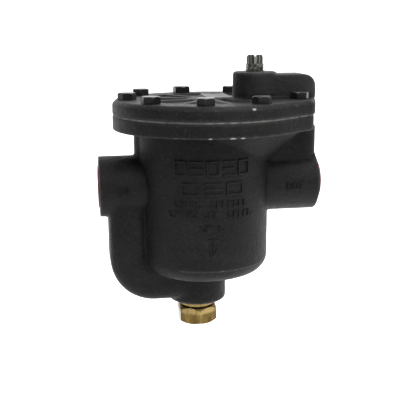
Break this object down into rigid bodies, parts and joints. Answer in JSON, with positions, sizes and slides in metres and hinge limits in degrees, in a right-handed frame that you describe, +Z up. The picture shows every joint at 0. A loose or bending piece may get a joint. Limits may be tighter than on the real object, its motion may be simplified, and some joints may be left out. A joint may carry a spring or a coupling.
{
  "type": "inverted bucket steam trap",
  "caption": "Cast iron inverted bucket steam trap: in-line threaded ports, bolted cover, bucket, lever and ball valve inside, square-head test plug and hexagon drain plug.",
  "frame": {"origin": "centre of the inlet port's face, on the pipe axis", "axes": "+X along the flow from inlet to outlet, +Z up, +Y away from the side with the flow marks"},
  "size_m": [0.2657, 0.224, 0.3241],
  "materials": {
    "painted_body": "black paint on rough cast iron",
    "painted_cover": "black paint on rough cast iron",
    "gasket": "compressed fibre sheet",
    "black_screws": "black oxide, half glossy",
    "grey_steel": "dull grey malleable iron",
    "plug_brass": "turned brass",
    "plate_aluminium": "thin bright sheet",
    "plate_screws": "plain",
    "red_plastic": "moulded crimson plastic",
    "tube_steel": "plain",
    "stainless": "pressed stainless sheet",
    "ring_iron": "bare",
    "hardened_steel": "ground",
    "pin_steel": "turned",
    "dark_steel": "blued spring steel",
    "copper": "soft copper"
  },
  "bodies": {
    "trap_body": {"body": "painted_body", "cover": "painted_cover", "cover_gasket": "gasket", "cover_screws": "black_screws", "test_plug": "grey_steel", "drain_plug": "plug_brass", "nameplate": "plate_aluminium", "nameplate_screws": "plate_screws", "inlet_thread_protector": "red_plastic", "outlet_thread_protector": "red_plastic", "inlet_tube": "tube_steel", "valve_seat": "hardened_steel", "valve_seat_gasket": "copper", "fulcrum_bracket": "stainless", "bracket_screws": "pin_steel", "fulcrum_pin": "pin_steel", "pin_clip": "dark_steel"},
    "float_bucket": {"bucket": "stainless", "bucket_weight_ring": "ring_iron", "bucket_hook": "stainless", "bucket_hook_rivet": "pin_steel"},
    "valve_lever": {"lever": "stainless", "valve_head": "hardened_steel", "valve_retainer": "pin_steel"}
  },
  "joints": [
    {"name": "bucket_lift", "type": "slide", "parent": "trap_body", "child": "float_bucket", "axis": [0, 0, 1], "range_m": [0, 0.012]},
    {"name": "lever_pivot", "type": "hinge", "parent": "trap_body", "child": "valve_lever", "pos_m": [0.184, 0, 0.0645], "axis": [0, 1, 0], "range_deg": [0, 11.6]}
  ],
  "couplings": [
    {"joint": "lever_pivot", "follows": "bucket_lift", "rad_per_m": 16.78}
  ]
}
